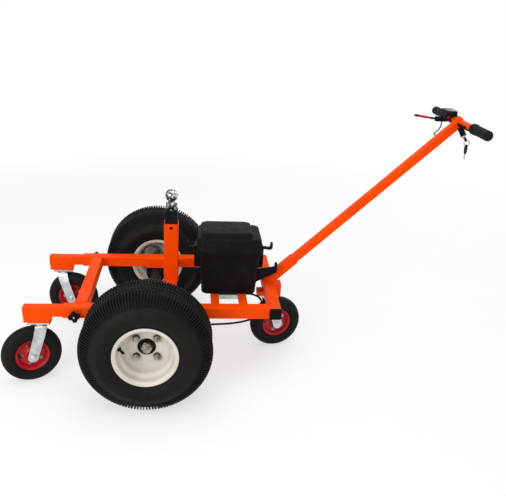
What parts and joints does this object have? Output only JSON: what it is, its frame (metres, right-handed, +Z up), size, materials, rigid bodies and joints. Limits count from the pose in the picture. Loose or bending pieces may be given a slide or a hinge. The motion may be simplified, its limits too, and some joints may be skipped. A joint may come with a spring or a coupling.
{
  "type": "electric trailer mover",
  "caption": "Electric trailer mover on fat tyres with caster wheels, a sliding tow-ball post, a battery box and a T-bar handle.",
  "frame": {"origin": "on the floor under the centre of the overall size", "axes": "+X to the rear, towards the handle and the operator; +Y to the operator's right; +Z up"},
  "size_m": [1.7612, 1.028, 1.0197],
  "materials": {
    "orange_paint": "glossy orange powder coat",
    "cream_paint": "glossy off-white paint",
    "red_paint": "glossy red paint",
    "black_paint": "satin black paint",
    "zinc_plate": "bright zinc plate",
    "bare_steel": "plated steel",
    "dark_steel": "dark phosphated steel",
    "case_metal": "satin black paint on castings",
    "cast_alloy": "plain aluminium extrusion",
    "chrome_plate": "polished chrome plate",
    "tyre_rubber": "matte tyre rubber",
    "grip_rubber": "soft ribbed rubber",
    "cable_rubber": "smooth cable sheath",
    "black_plastic": "grained moulded plastic",
    "battery_plastic": "moulded battery case",
    "red_plastic": "glossy moulded plastic"
  },
  "bodies": {
    "frame": {"side_rail_left": "orange_paint", "side_rail_right": "orange_paint", "cross_tubes": "orange_paint", "rear_cross_tube": "orange_paint", "rear_tube_caps": "black_plastic", "battery_bars": "orange_paint", "hitch_post": "orange_paint", "handle_socket": "orange_paint", "handle": "orange_paint", "rear_caster_bracket": "orange_paint", "gear_case_left": "case_metal", "gear_case_right": "case_metal", "motor_can": "black_paint", "caster_rear_plate": "zinc_plate", "battery_base": "black_plastic", "battery": "battery_plastic", "controller": "cast_alloy", "grip": "grip_rubber", "throttle_housing": "black_plastic", "display_pod": "black_plastic", "brake_perch": "black_plastic", "key_switch": "black_plastic", "lever_cable": "cable_rubber", "motor_cable": "cable_rubber"},
    "rotor_body": {"rotor": "bare_steel"},
    "counter_body": {"counter_gear": "bare_steel"},
    "differential_body": {"differential_gear": "bare_steel"},
    "battery_lid_body": {"battery_lid": "black_plastic"},
    "throttle_body": {"throttle_grip": "grip_rubber"},
    "button_body": {"push_button": "red_plastic"},
    "lever_body": {"brake_lever": "black_paint"},
    "key_body": {"key": "bare_steel"},
    "ball_post": {"ball_tube": "black_paint", "tow_ball": "chrome_plate"},
    "post_knob_body": {"post_knob": "black_plastic"},
    "drive_wheel_left": {"half_shaft_left": "bare_steel", "hub_left": "dark_steel", "rim_left": "cream_paint", "tyre_left": "tyre_rubber", "lug_nuts_left": "bare_steel"},
    "drive_wheel_right": {"half_shaft_right": "bare_steel", "hub_right": "dark_steel", "rim_right": "cream_paint", "tyre_right": "tyre_rubber", "lug_nuts_right": "bare_steel"},
    "arm_left": {"caster_arm_left": "orange_paint", "caster_left_plate": "zinc_plate"},
    "arm_knob_left_body": {"arm_knob_left": "black_plastic"},
    "arm_right": {"caster_arm_right": "orange_paint", "caster_right_plate": "zinc_plate"},
    "arm_knob_right_body": {"arm_knob_right": "black_plastic"},
    "caster_left": {"caster_left_fork": "zinc_plate"},
    "caster_left_wheel": {"caster_left_rim": "red_paint", "caster_left_tyre": "tyre_rubber"},
    "caster_right": {"caster_right_fork": "zinc_plate"},
    "caster_right_wheel": {"caster_right_rim": "red_paint", "caster_right_tyre": "tyre_rubber"},
    "caster_rear": {"caster_rear_fork": "zinc_plate"},
    "caster_rear_wheel": {"caster_rear_rim": "red_paint", "caster_rear_tyre": "tyre_rubber"}
  },
  "joints": [
    {"name": "wheel_left_spin", "type": "hinge", "parent": "frame", "child": "drive_wheel_left", "pos_m": [-0.3369, 0, 0.2335], "axis": [0, 1, 0], "continuous": true},
    {"name": "wheel_right_spin", "type": "hinge", "parent": "frame", "child": "drive_wheel_right", "pos_m": [-0.3369, 0, 0.2335], "axis": [0, 1, 0], "continuous": true},
    {"name": "differential_spin", "type": "hinge", "parent": "frame", "child": "differential_body", "pos_m": [-0.3369, 0, 0.2335], "axis": [0, 1, 0], "continuous": true},
    {"name": "counter_spin", "type": "hinge", "parent": "frame", "child": "counter_body", "pos_m": [-0.3894, 0, 0.2335], "axis": [0, 1, 0], "continuous": true},
    {"name": "rotor_spin", "type": "hinge", "parent": "frame", "child": "rotor_body", "pos_m": [-0.4344, 0, 0.2335], "axis": [0, 1, 0], "continuous": true},
    {"name": "arm_left_slide", "type": "slide", "parent": "frame", "child": "arm_left", "axis": [-1, 0, 0], "range_m": [-0.015, 0.12]},
    {"name": "arm_left_knob_turn", "type": "hinge", "parent": "frame", "child": "arm_knob_left_body", "pos_m": [-0.6069, -0.27, 0.278], "axis": [0, -1, 0], "range_deg": [0, 540]},
    {"name": "arm_right_slide", "type": "slide", "parent": "frame", "child": "arm_right", "axis": [-1, 0, 0], "range_m": [-0.015, 0.12]},
    {"name": "arm_right_knob_turn", "type": "hinge", "parent": "frame", "child": "arm_knob_right_body", "pos_m": [-0.6069, 0.27, 0.278], "axis": [0, 1, 0], "range_deg": [0, 540]},
    {"name": "caster_left_swivel", "type": "hinge", "parent": "arm_left", "child": "caster_left", "pos_m": [-0.7409, -0.2415, 0.2292], "axis": [0, 0, 1], "continuous": true},
    {"name": "caster_left_spin", "type": "hinge", "parent": "caster_left", "child": "caster_left_wheel", "pos_m": [-0.77613, -0.25573, 0.11], "axis": [0.3746, -0.9272, 0], "continuous": true},
    {"name": "caster_right_swivel", "type": "hinge", "parent": "arm_right", "child": "caster_right", "pos_m": [-0.7409, 0.2415, 0.2292], "axis": [0, 0, 1], "continuous": true},
    {"name": "caster_right_spin", "type": "hinge", "parent": "caster_right", "child": "caster_right_wheel", "pos_m": [-0.70348, 0.2349, 0.11], "axis": [0.1736, 0.9848, 0], "continuous": true},
    {"name": "caster_rear_swivel", "type": "hinge", "parent": "frame", "child": "caster_rear", "pos_m": [0.1391, 0, 0.2292], "axis": [0, 0, 1], "continuous": true},
    {"name": "caster_rear_spin", "type": "hinge", "parent": "caster_rear", "child": "caster_rear_wheel", "pos_m": [0.17597, 0.00919, 0.11], "axis": [-0.2419, 0.9703, 0], "continuous": true},
    {"name": "ball_post_slide", "type": "slide", "parent": "frame", "child": "ball_post", "axis": [0, 0, 1], "range_m": [-0.04, 0.12]},
    {"name": "post_knob_turn", "type": "hinge", "parent": "frame", "child": "post_knob_body", "pos_m": [-0.2649, 0.0345, 0.4885], "axis": [0, 1, 0], "range_deg": [0, 540]},
    {"name": "throttle_twist", "type": "hinge", "parent": "frame", "child": "throttle_body", "pos_m": [0.84196, -0.192, 0.98473], "axis": [0, 1, 0], "range_deg": [0, 70], "stiffness_Nm_per_rad": 0.6},
    {"name": "brake_lever_pull", "type": "hinge", "parent": "frame", "child": "lever_body", "pos_m": [0.80396, 0.13, 0.97193], "axis": [0, 0, -1], "range_deg": [0, 28], "stiffness_Nm_per_rad": 2},
    {"name": "key_turn", "type": "hinge", "parent": "frame", "child": "key_body", "pos_m": [0.83196, -0.04, 0.96873], "axis": [-0.5299, 0, 0.848], "range_deg": [0, 90]},
    {"name": "button_press", "type": "slide", "parent": "frame", "child": "button_body", "axis": [0, 1, 0], "range_m": [0, 0.004], "stiffness_N_per_m": 600},
    {"name": "battery_lid_lift", "type": "slide", "parent": "frame", "child": "battery_lid_body", "axis": [0, 0, 1], "range_m": [0, 0.12]}
  ],
  "couplings": [
    {"joint": "counter_spin", "follows": "differential_spin", "ratio": -4},
    {"joint": "rotor_spin", "follows": "differential_spin", "ratio": 16}
  ]
}
